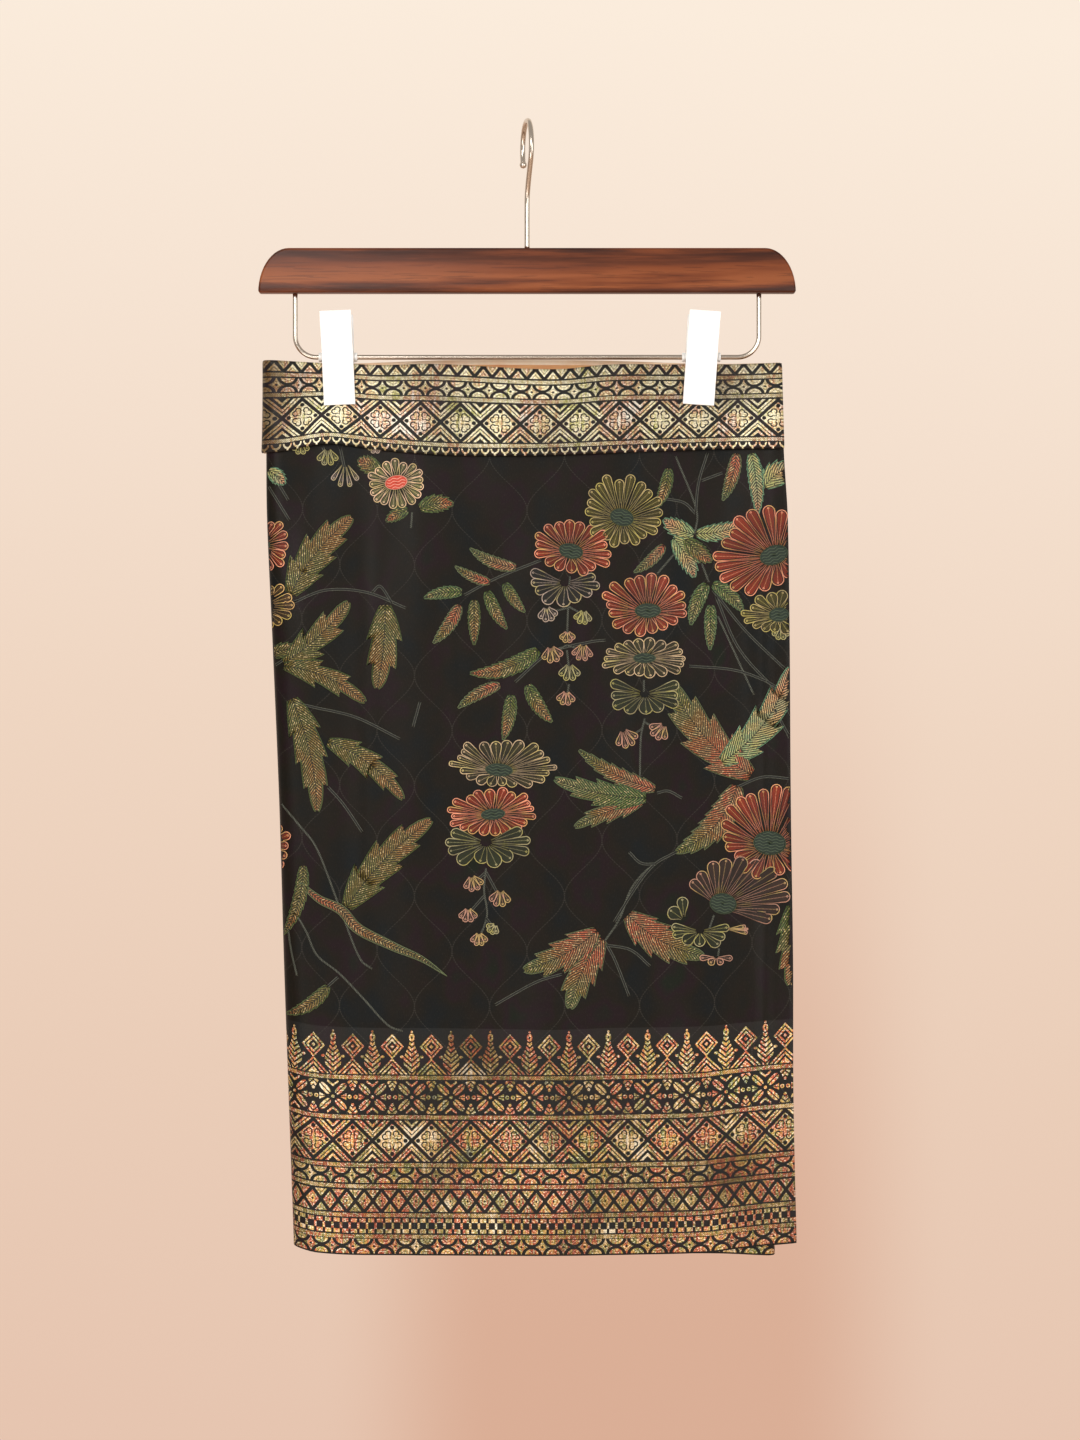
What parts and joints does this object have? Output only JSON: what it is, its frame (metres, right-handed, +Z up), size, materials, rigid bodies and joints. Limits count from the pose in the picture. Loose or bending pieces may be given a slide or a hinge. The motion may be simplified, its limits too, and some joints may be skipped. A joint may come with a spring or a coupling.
{
  "type": "pre-tied samping on wooden clip hanger",
  "caption": "Wrapped brocade samping with a folded waistband, open at waist and hem, hanging flat from a wooden bar hanger with a wire hook and spring clips.",
  "frame": {"origin": "inner side of the hook's loop, at its highest point, where it rests on a rail", "axes": "+Z up, +X to the right of someone facing the front, which looks along -Y"},
  "size_m": [0.3666, 0.0399, 0.7751],
  "materials": {
    "cloth": "black satin brocade with woven coloured and metallic figures",
    "band": "gold, green and silver brocade border",
    "wood": "satin lacquered dark wood",
    "steel": "polished wire",
    "clip": "glossy white"
  },
  "bodies": {
    "root": {"front_panel": "cloth", "back_panel": "cloth", "underlap": "cloth", "waistband_front": "band", "waistband_back": "band", "hanger_bar": "wood", "hook": "steel", "clip_rod": "steel", "left_clip_front_jaw": "clip", "left_clip_back_jaw": "clip", "left_clip_sleeve": "clip", "right_clip_front_jaw": "clip", "right_clip_back_jaw": "clip", "right_clip_sleeve": "clip"}
  },
  "joints": []
}
